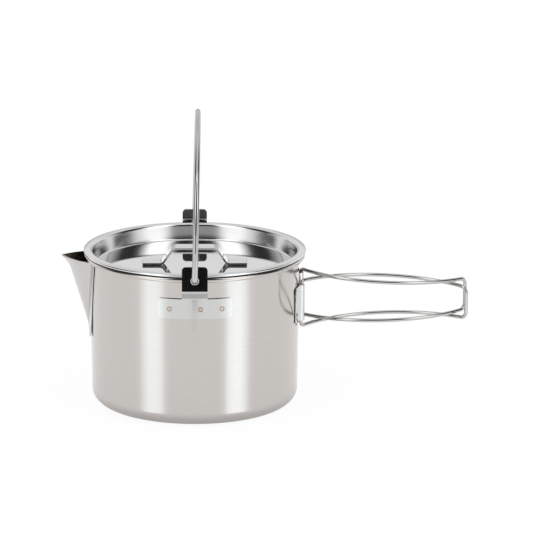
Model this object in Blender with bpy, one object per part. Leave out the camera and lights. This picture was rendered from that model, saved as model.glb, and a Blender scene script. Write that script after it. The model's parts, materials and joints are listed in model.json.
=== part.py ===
"""Camping kettle: a stainless pot with a folded spout, a drop-in lid, a wire bail and a folding
two-loop wire handle. Metres, +Z up, origin at the middle of the base. The wire handle is at +X,
the spout at -X and the bail's ears at -Y (front) and +Y (rear)."""

import math

import bmesh
import bpy
from mathutils import Matrix, Vector

# Gap kept between pieces that touch on the real kettle
SEAT_GAP = 0.0003

# Pot shell
POT_DIAMETER = 0.130
POT_HEIGHT = 0.0952
POT_WALL = 0.0006
BASE_CORNER = 0.0089
BASE_DRAFT = 0.0008
DRAFT_HEIGHT = 0.060
RIM_STAND_OUT = 0.0037
RIM_HEIGHT = 0.0031

# Lid
LID_SHEET = 0.0007
LID_FIT = 0.0004
LID_FLANGE_WIDTH = 0.0058
LID_FLANGE_THICKNESS = 0.0019
LID_DEPTH = 0.0102
LID_PLUG_TAPER = 0.0013
LID_TOP_BEND = 0.0014
LID_PANEL_BEND = 0.0020

# Strip handle on the lid
STRIP_WIDTH = 0.011
STRIP_THICKNESS = 0.0013
STRIP_LENGTH = 0.065
STRIP_FOOT = 0.0125
STRIP_BAR = 0.0270
STRIP_RISE = 0.0095
STRIP_FOOT_BEND = 0.0035
STRIP_BAR_BEND = 0.0050

# Spout, a folded sheet
SPOUT_SHEET = 0.0008
SPOUT_REACH = 0.0180
SPOUT_MOUTH_WIDTH = 0.0320
SPOUT_DEPTH = 0.0435
SPOUT_BELOW_RIM = 0.0005
SPOUT_BEAK_HEIGHT = 0.0085
SPOUT_BEAK_REACH = 0.0040
SPOUT_TIP_RISE = 0.0012
SPOUT_FOLD = 0.0024
SPOUT_FLANGE_TOP = 0.0052
SPOUT_FLANGE_FOOT = 0.0118
SPOUT_TAIL = 0.0050
SPOUT_HEEL_WIDTH = 0.0030
SPOUT_FULLNESS = 0.7

# Strainer holes in the wall behind the spout
STRAINER_HOLE = 0.0036
STRAINER_PITCH = 0.0056
STRAINER_ROWS = 4
STRAINER_BELOW_RIM = 0.0132

# Ears that carry the bail
EAR_SHEET = 0.0010
EAR_FLANGE_WIDTH = 0.0448
EAR_FLANGE_HEIGHT = 0.0123
EAR_FLANGE_CORNER = 0.0018
EAR_TAB_WIDTH = 0.0156
EAR_TAB_CORNER = 0.0024
EAR_STAND_OFF = 0.0080
EAR_FLANGE_BELOW_RIM = 0.0138
EAR_NECK = 0.0010
EAR_TAB_BELOW_RIM = 0.0065
EAR_TAB_ABOVE_RIM = 0.0084
EAR_HOLE = 0.0060
EAR_HOLE_BELOW_RIM = 0.0002
EAR_BEND = 0.0016

# Bail
BAIL_WIRE = 0.0034
BAIL_HEIGHT = 0.0888
BAIL_TIP = 0.0024
BAIL_BEND = 0.0024
BAIL_LEAN = math.radians(1.3)

# Wire handle: two loops hinged in one bracket
LOOP_WIRE = 0.0023
LOOP_HINGE_SPREAD = 0.0181
LOOP_REACH = 0.1029
LOOP_RADIUS = 0.0690
LOOP_END_DROP = 0.0053
LOOP_END_RISE = 0.0040
LOOP_HINGE_LENGTH = 0.0290
LOOP_HINGE_FOOT = 0.0494
LOOP_OPEN_SLANT = math.radians(2.0)
LOOP_HINGE_BEND = 0.0030
LOOP_END_BEND = 0.0042
LOOP_STAGGER_CLEARANCE = 0.0010
LOOP_WIRE_MEETING = 0.0030

# Bracket that holds the loops
BRACKET_SHEET = 0.0008
BRACKET_WIRE_PLAY = 0.0004
BRACKET_HEIGHT = 0.0228
BRACKET_ABOVE_BEND = 0.0009
BRACKET_FLANGE = 0.0090
BRACKET_CORNER = 0.0022

# Fineness of the round shapes
MERGE = 0.000001
SHARP_ANGLE = math.radians(30)
POT_STEPS = 64
CORNER_STEPS = 5
LID_EDGE_STEPS = 4
SHEET_BEND_STEPS = 3
STRIP_BEND_STEPS = 5
SPOUT_FLANGE_STEPS = 3
SPOUT_FOLD_STEPS = 3
SPOUT_SIDE_STEPS = 6
SPOUT_BODY_ROWS = (0.1, 0.25, 0.5, 0.75, 1.0)
SPOUT_BEAK_ROWS = (0.4, 0.7, 1.0)
STRAINER_HOLE_SIDES = 10
EAR_HOLE_SIDES = 20
EAR_TAB_STEPS = 4
EAR_WING_STEPS = 3
EAR_TAB_CORNER_STEPS = 4
EAR_FLANGE_CORNER_STEPS = 2
WIRE_BEVEL_STEPS = 2
WIRE_BEND_STEPS = 4
BAIL_ARCH_STEPS = 28
LOOP_ARC_STEPS = 14
BRACKET_CHANNEL_STEPS = 6
BRACKET_WEB_STEPS = 3
BRACKET_FLANGE_STEPS = 3
BRACKET_CORNER_STEPS = 3

# Sizes that follow from the ones above
POT_RADIUS = POT_DIAMETER / 2
RIM_RADIUS = POT_RADIUS + RIM_STAND_OUT
RIM_FOOT = POT_HEIGHT - RIM_HEIGHT
SEAT_RADIUS = POT_RADIUS + SEAT_GAP
PIVOT_HEIGHT = POT_HEIGHT - EAR_HOLE_BELOW_RIM
HINGE_RADIUS = POT_RADIUS + BRACKET_WIRE_PLAY + LOOP_WIRE / 2
HINGE_ANGLE = math.asin(LOOP_HINGE_SPREAD / 2 / HINGE_RADIUS)
# The rear loop sits this much higher, so that its wires pass over the front loop's
LOOP_STAGGER = LOOP_WIRE + LOOP_STAGGER_CLEARANCE


def clear_scene():
    for obj in list(bpy.data.objects):
        bpy.data.objects.remove(obj, do_unlink=True)


def steel(name, grey, roughness):
    material = bpy.data.materials.new(name)
    material.use_nodes = True
    shader = material.node_tree.nodes["Principled BSDF"]
    shader.inputs["Base Color"].default_value = (grey, grey, grey * 0.985, 1.0)
    shader.inputs["Metallic"].default_value = 1.0
    shader.inputs["Roughness"].default_value = roughness
    material.diffuse_color = (grey, grey, grey, 1.0)
    return material


def polar(radius, angle, height=0.0):
    return Vector((radius * math.cos(angle), radius * math.sin(angle), height))


def arc(centre, radius, start, end, steps):
    """Points of an arc in the plane, from one angle to the other, in degrees."""
    points = []
    for step in range(steps + 1):
        angle = math.radians(start + (end - start) * step / steps)
        points.append((centre[0] + radius * math.cos(angle), centre[1] + radius * math.sin(angle)))
    return points


def rounded(points, radii, steps):
    """The path with each inner corner replaced by an arc of its radius; 0 keeps the corner."""
    path = [points[0]]
    for before, corner, after, radius in zip(points, points[1:], points[2:], radii):
        if radius == 0:
            path.append(corner)
            continue
        back = (before - corner).normalized()
        ahead = (after - corner).normalized()
        half = back.angle(ahead) / 2
        centre = corner + (back + ahead).normalized() * (radius / math.sin(half))
        start = corner + back * (radius / math.tan(half)) - centre
        axis = back.cross(ahead)
        for step in range(steps + 1):
            turn = Matrix.Rotation((2 * half - math.pi) * step / steps, 3, axis)
            path.append(centre + turn @ start)
    path.append(points[-1])
    return path


def add_object(name, data, material, origin):
    """An object at its place; data shared by two objects gets its material once."""
    if not data.materials:
        data.materials.append(material)
    obj = bpy.data.objects.new(name, data)
    obj.location = origin
    bpy.context.scene.collection.objects.link(obj)
    return obj


def finish_mesh(bm, name, origin):
    """The mesh of a bmesh drawn in world coordinates, moved so that origin is its zero."""
    bmesh.ops.recalc_face_normals(bm, faces=bm.faces)
    bmesh.ops.translate(bm, verts=bm.verts, vec=-Vector(origin))
    mesh = bpy.data.meshes.new(name)
    bm.to_mesh(mesh)
    bm.free()
    mesh.shade_smooth()
    mesh.set_sharp_from_angle(angle=SHARP_ANGLE)
    return mesh


def turned(profile):
    """A bmesh turned round the Z axis from (radius, height) points, both ends on the axis."""
    bm = bmesh.new()
    chain = [bm.verts.new((radius, 0.0, height)) for radius, height in profile]
    edges = [bm.edges.new(pair) for pair in zip(chain, chain[1:])]
    bmesh.ops.spin(bm, geom=chain + edges, axis=(0, 0, 1), cent=(0, 0, 0), angle=math.tau,
                   steps=POT_STEPS, use_merge=True)
    bmesh.ops.remove_doubles(bm, verts=bm.verts, dist=MERGE)
    return bm


def add_sheet(bm, columns):
    """One open surface from a grid: a list of columns of points, all of one length."""
    grid = [[bm.verts.new(point) for point in column] for column in columns]
    for left, right in zip(grid, grid[1:]):
        for row in range(len(left) - 1):
            bm.faces.new((left[row], right[row], right[row + 1], left[row + 1]))


def thicken(obj, thickness):
    solidify = obj.modifiers.new("Sheet thickness", "SOLIDIFY")
    solidify.thickness = thickness
    solidify.offset = 0.0
    solidify.use_even_offset = True


def cut(obj, cutter):
    boolean = obj.modifiers.new("Cut", "BOOLEAN")
    boolean.operation = "DIFFERENCE"
    boolean.object = cutter


def drill(name, starts, direction, diameter, sides):
    """One cutter made of a round drill from each start, along the same direction."""
    bm = bmesh.new()
    turn = direction.to_track_quat("Z", "Y").to_matrix().to_4x4()
    for start in starts:
        ring = bmesh.ops.create_cone(bm, cap_ends=True, segments=sides, radius1=diameter / 2,
                                     radius2=diameter / 2, depth=direction.length)["verts"]
        bmesh.ops.transform(bm, matrix=turn, verts=ring)
        bmesh.ops.translate(bm, verts=ring, vec=start + direction / 2)
    mesh = bpy.data.meshes.new(name)
    bm.to_mesh(mesh)
    bm.free()
    cutter = bpy.data.objects.new(name, mesh)
    cutter.hide_render = True
    cutter.display_type = "WIRE"
    bpy.context.scene.collection.objects.link(cutter)
    return cutter


def wire(name, points, diameter, material, origin):
    """A round wire along the points, with flat ends."""
    curve = bpy.data.curves.new(name, "CURVE")
    curve.dimensions = "3D"
    curve.twist_mode = "MINIMUM"
    curve.bevel_depth = diameter / 2
    curve.bevel_resolution = WIRE_BEVEL_STEPS
    curve.use_fill_caps = True
    spline = curve.splines.new("POLY")
    spline.points.add(len(points) - 1)
    for target, point in zip(spline.points, points):
        target.co = (*(point - Vector(origin)), 1.0)
    spline.use_smooth = True
    return add_object(name, curve, material, origin)


def bar_outline(path, thickness):
    """The two sides of a bent sheet seen edge on: the path moved half a thickness each way."""
    left = []
    right = []
    for index, point in enumerate(path):
        before = path[max(index - 1, 0)]
        after = path[min(index + 1, len(path) - 1)]
        ahead = (after - point).normalized() if after != point else (point - before).normalized()
        behind = (point - before).normalized() if point != before else ahead
        along = (ahead + behind).normalized()
        across = Vector((-along.y, along.x)) * (thickness / 2 / along.dot(ahead))
        left.append(point + across)
        right.append(point - across)
    return left, right


def closed_bar(rings):
    """A closed body through rings of four corners, with a flat face at each end."""
    bm = bmesh.new()
    grid = [[bm.verts.new(point) for point in ring] for ring in rings]
    for this, following in zip(grid, grid[1:]):
        for index in range(4):
            other = (index + 1) % 4
            bm.faces.new((this[index], this[other], following[other], following[index]))
    bm.faces.new(grid[0])
    bm.faces.new(grid[-1])
    return bm


def make_pot(material):
    """A deep-drawn shell with a rolled rim and a strainer behind the spout."""
    foot_radius = POT_RADIUS - BASE_DRAFT
    bead = RIM_HEIGHT / 2
    bead_centre = (RIM_RADIUS - bead, RIM_FOOT + bead)
    corner = (foot_radius - BASE_CORNER, BASE_CORNER)
    inner = POT_RADIUS - POT_WALL
    profile = [(0.0, 0.0)]
    profile += arc(corner, BASE_CORNER, -90, 0, CORNER_STEPS)
    profile += [(POT_RADIUS, DRAFT_HEIGHT), (POT_RADIUS, RIM_FOOT)]
    profile += arc(bead_centre, bead, -90, 90, CORNER_STEPS + 1)
    profile += [(POT_RADIUS, POT_HEIGHT), (inner, POT_HEIGHT - POT_WALL), (inner, DRAFT_HEIGHT)]
    profile += arc(corner, BASE_CORNER - POT_WALL, 0, -90, CORNER_STEPS)
    profile += [(0.0, POT_WALL)]
    mesh = finish_mesh(turned(profile), "pot_body", (0, 0, 0))
    pot = add_object("pot_body", mesh, material, (0, 0, 0))
    cut(pot, strainer_drill())
    return pot


def strainer_drill():
    """Drills for a triangle of holes, point down, one fewer hole in each row."""
    starts = []
    for row in range(STRAINER_ROWS):
        count = STRAINER_ROWS - row
        height = POT_HEIGHT - STRAINER_BELOW_RIM - row * STRAINER_PITCH
        for hole in range(count):
            side = (hole - (count - 1) / 2) * STRAINER_PITCH
            starts.append(Vector((-RIM_RADIUS, side, height)))
    to_axis = Vector((RIM_RADIUS, 0, 0))
    return drill("strainer_drill", starts, to_axis, STRAINER_HOLE, STRAINER_HOLE_SIDES)


def lid_heights():
    """Heights of the flange's two faces and of the sunken panel's top."""
    flange_foot = POT_HEIGHT + SEAT_GAP
    flange_top = flange_foot + LID_FLANGE_THICKNESS
    return flange_foot, flange_top, flange_top - LID_DEPTH


def make_lid(material):
    """A flange that rests on the rim round a tapered plug with a flat sunken panel."""
    flange_foot, flange_top, panel_top = lid_heights()
    panel_foot = panel_top - LID_SHEET
    plug_top = POT_RADIUS - POT_WALL - LID_FIT
    plug_foot = plug_top - LID_PLUG_TAPER
    inner_top = plug_top - LID_SHEET
    outer = inner_top + LID_FLANGE_WIDTH
    edge = LID_FLANGE_THICKNESS / 2
    bend_centre = (plug_foot - LID_PANEL_BEND, panel_foot + LID_PANEL_BEND)
    profile = [(0.0, panel_foot)]
    profile += arc(bend_centre, LID_PANEL_BEND, -90, 0, SHEET_BEND_STEPS)
    profile += [(plug_top, flange_foot)]
    profile += arc((outer - edge, flange_foot + edge), edge, -90, 90, LID_EDGE_STEPS)
    profile += arc((inner_top + LID_TOP_BEND, flange_top - LID_TOP_BEND), LID_TOP_BEND, 90, 180,
                   SHEET_BEND_STEPS)
    profile += arc(bend_centre, LID_PANEL_BEND - LID_SHEET, 0, -90, SHEET_BEND_STEPS)
    profile += [(0.0, panel_top)]
    origin = (0, 0, panel_foot)
    return add_object("lid", finish_mesh(turned(profile), "lid", origin), material, origin)


def make_lid_handle(material):
    """A flat strip: two feet on the panel, two risers and a bar."""
    panel_top = lid_heights()[2]
    foot = panel_top + SEAT_GAP + STRIP_THICKNESS / 2
    bar = foot + STRIP_RISE
    end = STRIP_LENGTH / 2
    riser = end - STRIP_FOOT
    half = STRIP_WIDTH / 2
    corners = [Vector((-end, foot, 0)), Vector((-riser, foot, 0)), Vector((-STRIP_BAR / 2, bar, 0)),
               Vector((STRIP_BAR / 2, bar, 0)), Vector((riser, foot, 0)), Vector((end, foot, 0))]
    bends = [STRIP_FOOT_BEND, STRIP_BAR_BEND, STRIP_BAR_BEND, STRIP_FOOT_BEND]
    path = rounded(corners, bends, STRIP_BEND_STEPS)
    upper, lower = bar_outline([point.to_2d() for point in path], STRIP_THICKNESS)
    rings = []
    for high, low in zip(upper, lower):
        rings.append([Vector((high.x, -half, high.y)), Vector((high.x, half, high.y)),
                      Vector((low.x, half, low.y)), Vector((low.x, -half, low.y))])
    origin = (0, 0, foot)
    mesh = finish_mesh(closed_bar(rings), "lid_handle", origin)
    return add_object("lid_handle", mesh, material, origin)


def spout_section(height, half_edge, closing):
    """Plan points of the spout sheet's middle at one height, from flange edge to nose."""
    middle = SEAT_RADIUS + SPOUT_SHEET / 2
    up = (height - closing) / SPOUT_DEPTH

    def on_wall(side):
        return Vector((math.sqrt(middle ** 2 - side ** 2), side))

    if up <= 0:
        count = SPOUT_FLANGE_STEPS + SPOUT_FOLD_STEPS + SPOUT_SIDE_STEPS
        return [on_wall(half_edge * (1 - step / count)) for step in range(count + 1)]
    straight = POT_RADIUS + SPOUT_REACH - SPOUT_BEAK_REACH - SPOUT_SHEET / 2 - middle
    beak = max(0.0, 1 - (1 - up) * SPOUT_DEPTH / SPOUT_BEAK_HEIGHT)
    nose = middle + straight * up + SPOUT_BEAK_REACH * beak ** 2
    crease = (SPOUT_HEEL_WIDTH + (SPOUT_MOUTH_WIDTH - SPOUT_HEEL_WIDTH) * up) / 2
    fold = min(SPOUT_FOLD, (nose - on_wall(crease).x) / 2)
    corner = on_wall(crease)
    foot = on_wall(crease + fold)
    flank = corner + Vector((fold, -fold * (1 - SPOUT_FULLNESS)))
    points = []
    for step in range(SPOUT_FLANGE_STEPS):
        points.append(on_wall(half_edge + (foot.y - half_edge) * step / SPOUT_FLANGE_STEPS))
    for step in range(SPOUT_FOLD_STEPS):
        share = step / SPOUT_FOLD_STEPS
        points.append(foot.lerp(corner, share).lerp(corner.lerp(flank, share), share))
    for step in range(SPOUT_SIDE_STEPS + 1):
        share = 1 - step / SPOUT_SIDE_STEPS
        bulge = share * (1 + SPOUT_FULLNESS) - SPOUT_FULLNESS * share ** 2
        points.append(Vector((nose + (flank.x - nose) * share, flank.y * bulge)))
    return points


def make_spout(material):
    """A sheet with a flange on the wall at each side, folded out to a nose that ends in a beak."""
    mouth = RIM_FOOT - SPOUT_BELOW_RIM
    closing = mouth - SPOUT_DEPTH
    beak_foot = mouth - SPOUT_BEAK_HEIGHT
    heights = [closing - SPOUT_TAIL, closing]
    heights += [closing + (beak_foot - closing) * share for share in SPOUT_BODY_ROWS]
    heights += [beak_foot + SPOUT_BEAK_HEIGHT * share for share in SPOUT_BEAK_ROWS]
    edge_top = SPOUT_MOUTH_WIDTH / 2 + SPOUT_FLANGE_TOP
    rows = []
    for height in heights:
        up = (height - closing) / SPOUT_DEPTH
        half_edge = SPOUT_FLANGE_FOOT + (edge_top - SPOUT_FLANGE_FOOT) * up
        beak = max(0.0, 1 - (mouth - height) / SPOUT_BEAK_HEIGHT)
        near = []
        for index, point in enumerate(spout_section(height, half_edge, closing)):
            to_nose = max(0.0, (index - SPOUT_FLANGE_STEPS - SPOUT_FOLD_STEPS) / SPOUT_SIDE_STEPS)
            lift = SPOUT_TIP_RISE * beak * to_nose ** 2
            near.append(Vector((-point.x, -point.y, height + lift)))
        far = [Vector((point.x, -point.y, point.z)) for point in reversed(near[:-1])]
        rows.append(near + far)
    bm = bmesh.new()
    add_sheet(bm, list(zip(*rows)))
    origin = (-POT_RADIUS, 0, mouth)
    spout = add_object("spout", finish_mesh(bm, "spout", origin), material, origin)
    thicken(spout, SPOUT_SHEET)
    return spout


def corner_rise(corner, steps):
    """Heights above a plate's straight edge that follow its rounded corner."""
    return [corner * (1 - math.cos(math.pi / 2 * step / steps)) for step in range(steps + 1)]


def plate_half_width(half_width, corner, to_edge):
    """Half the width of a plate with rounded corners, at a distance from its straight edge."""
    into_corner = max(corner - to_edge, 0.0)
    return half_width - corner + math.sqrt(max(corner ** 2 - into_corner ** 2, 0.0))


def ear_mesh():
    """The front ear: a flange on the wall, a neck that leans out and an upright tab."""
    middle = SEAT_RADIUS + EAR_SHEET / 2
    tab_face = POT_RADIUS + EAR_STAND_OFF + EAR_SHEET / 2
    flange_top = POT_HEIGHT - EAR_FLANGE_BELOW_RIM
    flange_foot = flange_top - EAR_FLANGE_HEIGHT
    tab_foot = POT_HEIGHT - EAR_TAB_BELOW_RIM
    tab_top = POT_HEIGHT + EAR_TAB_ABOVE_RIM
    half_tab = EAR_TAB_WIDTH / 2
    flange_rise = corner_rise(EAR_FLANGE_CORNER, EAR_FLANGE_CORNER_STEPS)
    flange_rows = [flange_foot + rise for rise in flange_rise]
    flange_rows += [flange_top - rise for rise in reversed(flange_rise)]
    tab_rise = corner_rise(EAR_TAB_CORNER, EAR_TAB_CORNER_STEPS)[::-1]

    def wall_out(side):
        return math.sqrt(middle ** 2 - side ** 2)

    columns = []
    for step in range(EAR_TAB_STEPS + 1):
        share = 2 * step / EAR_TAB_STEPS - 1
        side = half_tab * share
        column = [Vector((side, -wall_out(side), height)) for height in flange_rows]
        corners = [column[-1], Vector((side, -wall_out(side), flange_top + EAR_NECK)),
                   Vector((side, -tab_face, tab_foot)),
                   Vector((side, -tab_face, tab_top - tab_rise[0]))]
        column += rounded(corners, [EAR_BEND, EAR_BEND], SHEET_BEND_STEPS)[1:]
        for rise in tab_rise[1:]:
            half = plate_half_width(half_tab, EAR_TAB_CORNER, rise)
            column.append(Vector((half * share, -tab_face, tab_top - rise)))
        columns.append(column)
    bm = bmesh.new()
    add_sheet(bm, columns)
    for mirror in (-1, 1):
        wing = []
        for step in range(EAR_WING_STEPS + 1):
            column = []
            for height in flange_rows:
                to_edge = min(height - flange_foot, flange_top - height)
                half = plate_half_width(EAR_FLANGE_WIDTH / 2, EAR_FLANGE_CORNER, to_edge)
                side = half_tab + (half - half_tab) * step / EAR_WING_STEPS
                column.append(Vector((mirror * side, -wall_out(side), height)))
            wing.append(column)
        add_sheet(bm, wing)
    bmesh.ops.remove_doubles(bm, verts=bm.verts, dist=MERGE)
    return finish_mesh(bm, "bail_ear", (0, 0, 0))


def make_ears(material):
    """Two alike, the rear one turned half way round the pot, drilled in one pass."""
    mesh = ear_mesh()
    past_tab = POT_RADIUS + EAR_STAND_OFF + 2 * EAR_SHEET
    cutter = drill("ear_drill", [Vector((0, -past_tab, PIVOT_HEIGHT))],
                   Vector((0, 2 * past_tab, 0)), EAR_HOLE, EAR_HOLE_SIDES)
    for name, turn in (("bail_ear_front", 0.0), ("bail_ear_rear", math.pi)):
        ear = add_object(name, mesh, material, (0, 0, 0))
        ear.rotation_euler.z = turn
        thicken(ear, EAR_SHEET)
        cut(ear, cutter)


def make_bail(material):
    """Two legs, a half circle over the top and two tips bent in through the ears."""
    tab_outer = POT_RADIUS + EAR_STAND_OFF + EAR_SHEET
    leg = tab_outer + SEAT_GAP + BAIL_WIRE / 2
    tip = tab_outer - EAR_SHEET - BAIL_TIP
    shoulder = PIVOT_HEIGHT + BAIL_HEIGHT - BAIL_WIRE / 2 - leg
    arch = []
    for step in range(BAIL_ARCH_STEPS + 1):
        turn = math.pi * step / BAIL_ARCH_STEPS
        arch.append(Vector((0, -leg * math.cos(turn), shoulder + leg * math.sin(turn))))
    near_hook = [Vector((0, -tip, PIVOT_HEIGHT)), Vector((0, -leg, PIVOT_HEIGHT)), arch[0]]
    far_hook = [arch[-1], Vector((0, leg, PIVOT_HEIGHT)), Vector((0, tip, PIVOT_HEIGHT))]
    points = rounded(near_hook, [BAIL_BEND], WIRE_BEND_STEPS)[:-1] + arch
    points += rounded(far_hook, [BAIL_BEND], WIRE_BEND_STEPS)[1:]
    pivot = Vector((0, 0, PIVOT_HEIGHT))
    lean = Matrix.Rotation(BAIL_LEAN, 3, "Y")
    points = [pivot + lean @ (point - pivot) for point in points]
    return wire("bail", points, BAIL_WIRE, material, pivot)


def loop_points():
    """The front loop, from one end of its wire inside the bracket round to the other."""
    hinge = polar(HINGE_RADIUS, -HINGE_ANGLE)
    chord = polar(LOOP_REACH, LOOP_OPEN_SLANT)
    square = polar(1.0, LOOP_OPEN_SLANT + math.pi / 2)
    depth = math.sqrt(LOOP_RADIUS ** 2 - (LOOP_REACH / 2) ** 2)
    centre = hinge + chord / 2 - square * depth
    first = math.atan2(hinge.y - centre.y, hinge.x - centre.x)
    sweep = 2 * math.asin(LOOP_REACH / 2 / LOOP_RADIUS)
    upper = []
    lower = []
    for step in range(LOOP_ARC_STEPS + 1):
        share = step / LOOP_ARC_STEPS
        plan = centre + polar(LOOP_RADIUS, first - sweep * share)
        top = LOOP_HINGE_FOOT + LOOP_HINGE_LENGTH - LOOP_END_DROP * share
        foot = LOOP_HINGE_FOOT + LOOP_END_RISE * share
        upper.append(Vector((plan.x, plan.y, top)))
        lower.append(Vector((plan.x, plan.y, foot)))
    middle = LOOP_HINGE_FOOT + LOOP_HINGE_LENGTH / 2
    start = Vector((hinge.x, hinge.y, middle + LOOP_WIRE_MEETING / 2))
    end = Vector((hinge.x, hinge.y, middle - LOOP_WIRE_MEETING / 2))
    straight = [0] * (LOOP_ARC_STEPS - 1)
    radii = [LOOP_HINGE_BEND] + straight + [LOOP_END_BEND, LOOP_END_BEND] + straight
    radii += [LOOP_HINGE_BEND]
    return rounded([start] + upper + lower[::-1] + [end], radii, WIRE_BEND_STEPS)


def make_loops(material):
    """Two loops that mirror each other, the rear one higher so that they cross without touching."""
    hinge = polar(HINGE_RADIUS, -HINGE_ANGLE, LOOP_HINGE_FOOT + LOOP_HINGE_LENGTH / 2)
    front = loop_points()
    rear = [Vector((point.x, -point.y, point.z + LOOP_STAGGER)) for point in front]
    rear_hinge = Vector((hinge.x, -hinge.y, hinge.z + LOOP_STAGGER))
    wire("handle_loop_front", front, LOOP_WIRE, material, hinge)
    wire("handle_loop_rear", rear, LOOP_WIRE, material, rear_hinge)


def make_bracket(material):
    """One sheet on the wall, pressed into a channel over each wire: flange, channel, web, channel
    and flange."""
    web_radius = SEAT_RADIUS + BRACKET_SHEET / 2
    channel = LOOP_WIRE / 2 + BRACKET_WIRE_PLAY + BRACKET_SHEET / 2
    fillet = HINGE_RADIUS - web_radius
    half_pressing = (channel + fillet) / web_radius
    web_end = HINGE_ANGLE - half_pressing
    flange_start = HINGE_ANGLE + half_pressing
    hinge = polar(HINGE_RADIUS, HINGE_ANGLE)
    outward = hinge.normalized()
    sideways = Vector((-outward.y, outward.x, 0.0))
    outline = arc((-channel - fillet, 0.0), fillet, -90, 0, SHEET_BEND_STEPS)
    outline += arc((0.0, 0.0), channel, 180, 0, BRACKET_CHANNEL_STEPS)[1:]
    outline += arc((channel + fillet, 0.0), fillet, 180, 270, SHEET_BEND_STEPS)[1:]
    corner_rises = corner_rise(BRACKET_CORNER, BRACKET_CORNER_STEPS)
    to_edges = []
    for step in range(1, BRACKET_FLANGE_STEPS):
        to_edges.append(BRACKET_FLANGE * (1 - step / BRACKET_FLANGE_STEPS))
    to_edges += [BRACKET_CORNER - rise for rise in corner_rises]
    rear = []
    for step in range(BRACKET_WEB_STEPS):
        rear.append(polar(web_radius, web_end * step / BRACKET_WEB_STEPS))
    rear += [hinge + sideways * along + outward * out for along, out in outline]
    pressed = len(rear)
    rear += [polar(web_radius, flange_start + (BRACKET_FLANGE - to_edge) / web_radius)
             for to_edge in to_edges]
    # How far the top and bottom edges draw in at each point, for the flanges' rounded corners
    insets = [0.0] * (pressed + BRACKET_FLANGE_STEPS - 1)
    insets += [BRACKET_CORNER - math.sqrt(max(BRACKET_CORNER ** 2 - rise ** 2, 0.0))
               for rise in corner_rises]
    front = [Vector((point.x, -point.y, 0.0)) for point in reversed(rear[1:])]
    path = [point.to_2d() for point in front + rear]
    foot = LOOP_HINGE_FOOT + LOOP_HINGE_BEND + BRACKET_ABOVE_BEND
    outer, inner = bar_outline(path, BRACKET_SHEET)
    web_half = web_radius * math.sin(web_end)
    rings = []
    for point, inset, one, other in zip(path, insets[:0:-1] + insets, outer, inner):
        share = min(max(point.y / web_half, -1.0), 1.0)
        low = foot + LOOP_STAGGER * (1 + share) / 2 + inset
        high = low + BRACKET_HEIGHT - 2 * inset
        rings.append([Vector((one.x, one.y, low)), Vector((other.x, other.y, low)),
                      Vector((other.x, other.y, high)), Vector((one.x, one.y, high))])
    origin = (web_radius, 0, foot)
    mesh = finish_mesh(closed_bar(rings), "handle_bracket", origin)
    return add_object("handle_bracket", mesh, material, origin)


def build():
    clear_scene()
    make_pot(steel("pot_steel", 0.70, 0.16))
    make_spout(steel("spout_steel", 0.72, 0.18))
    make_ears(steel("ear_steel", 0.66, 0.10))
    make_bail(steel("bail_steel", 0.70, 0.15))
    make_bracket(steel("bracket_steel", 0.70, 0.14))
    make_loops(steel("loop_steel", 0.68, 0.15))
    make_lid(steel("lid_steel", 0.72, 0.08))
    make_lid_handle(steel("lid_handle_steel", 0.70, 0.12))


build()
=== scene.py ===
"""Looks of the camping kettle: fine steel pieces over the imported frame, a studio and the camera.
Metres, +Z up. The wire handle is at +X, the spout at -X, the front ear of the bail at -Y."""
import json
import math

import bmesh
import bpy
from mathutils import Matrix, Vector


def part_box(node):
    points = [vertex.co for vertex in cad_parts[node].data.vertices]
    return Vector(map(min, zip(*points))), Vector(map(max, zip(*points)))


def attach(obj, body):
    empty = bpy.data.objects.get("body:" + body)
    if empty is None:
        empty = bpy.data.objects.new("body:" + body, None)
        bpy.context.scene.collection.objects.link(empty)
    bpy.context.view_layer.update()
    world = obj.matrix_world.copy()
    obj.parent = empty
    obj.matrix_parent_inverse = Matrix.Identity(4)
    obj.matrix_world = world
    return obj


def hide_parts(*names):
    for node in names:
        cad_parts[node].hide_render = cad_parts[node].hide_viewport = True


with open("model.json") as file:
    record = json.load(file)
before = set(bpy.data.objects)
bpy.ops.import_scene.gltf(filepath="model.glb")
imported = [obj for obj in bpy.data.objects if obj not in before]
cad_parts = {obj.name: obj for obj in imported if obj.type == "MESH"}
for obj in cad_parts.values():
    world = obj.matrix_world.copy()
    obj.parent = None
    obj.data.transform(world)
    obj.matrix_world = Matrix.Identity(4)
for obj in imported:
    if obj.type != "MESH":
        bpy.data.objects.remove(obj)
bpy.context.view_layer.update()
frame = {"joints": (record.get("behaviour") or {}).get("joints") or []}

# Fineness
ROUND_STEPS = 256
BEND_STEPS = 12
WIRE_SIDES = 24
HOLE_SIDES = 48
SHARP_ANGLE = math.radians(35)

# Tolerances: a point is on the axis within the first, and points closer than the others are one
ON_AXIS = 1e-7
RING_MERGE = 1e-7
SHEET_MERGE = 1e-6

# Pot. Its box is the frame's, and so are those of the lid, the strip and the ear
POT_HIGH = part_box("pot_body")[1]
POT_HEIGHT = POT_HIGH.z
RIM_RADIUS = POT_HIGH.x
RIM_STAND_OUT = 0.0037
RIM_HEIGHT = 0.0031
RIM_CREVICE = 0.0005
RIM_CURL_START = -140
RIM_LIP_ROUND = 0.0008
POT_RADIUS = RIM_RADIUS - RIM_STAND_OUT
RIM_FOOT = POT_HEIGHT - RIM_HEIGHT
POT_WALL = 0.0006
INSIDE_BELOW_RIM = 0.002
BASE_CORNER = 0.0089
BASE_DRAFT = 0.0008
DRAFT_START = BASE_CORNER + 0.001
DRAFT_HEIGHT = 0.060
SEAT_GAP = 0.0003
SEAT_RADIUS = POT_RADIUS + SEAT_GAP

# Strainer holes behind the spout
STRAINER_HOLE = 0.0036
STRAINER_PITCH = 0.0056
STRAINER_ROWS = 4
STRAINER_BELOW_RIM = 0.0132
STRAINER_SIDES = 24

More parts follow.
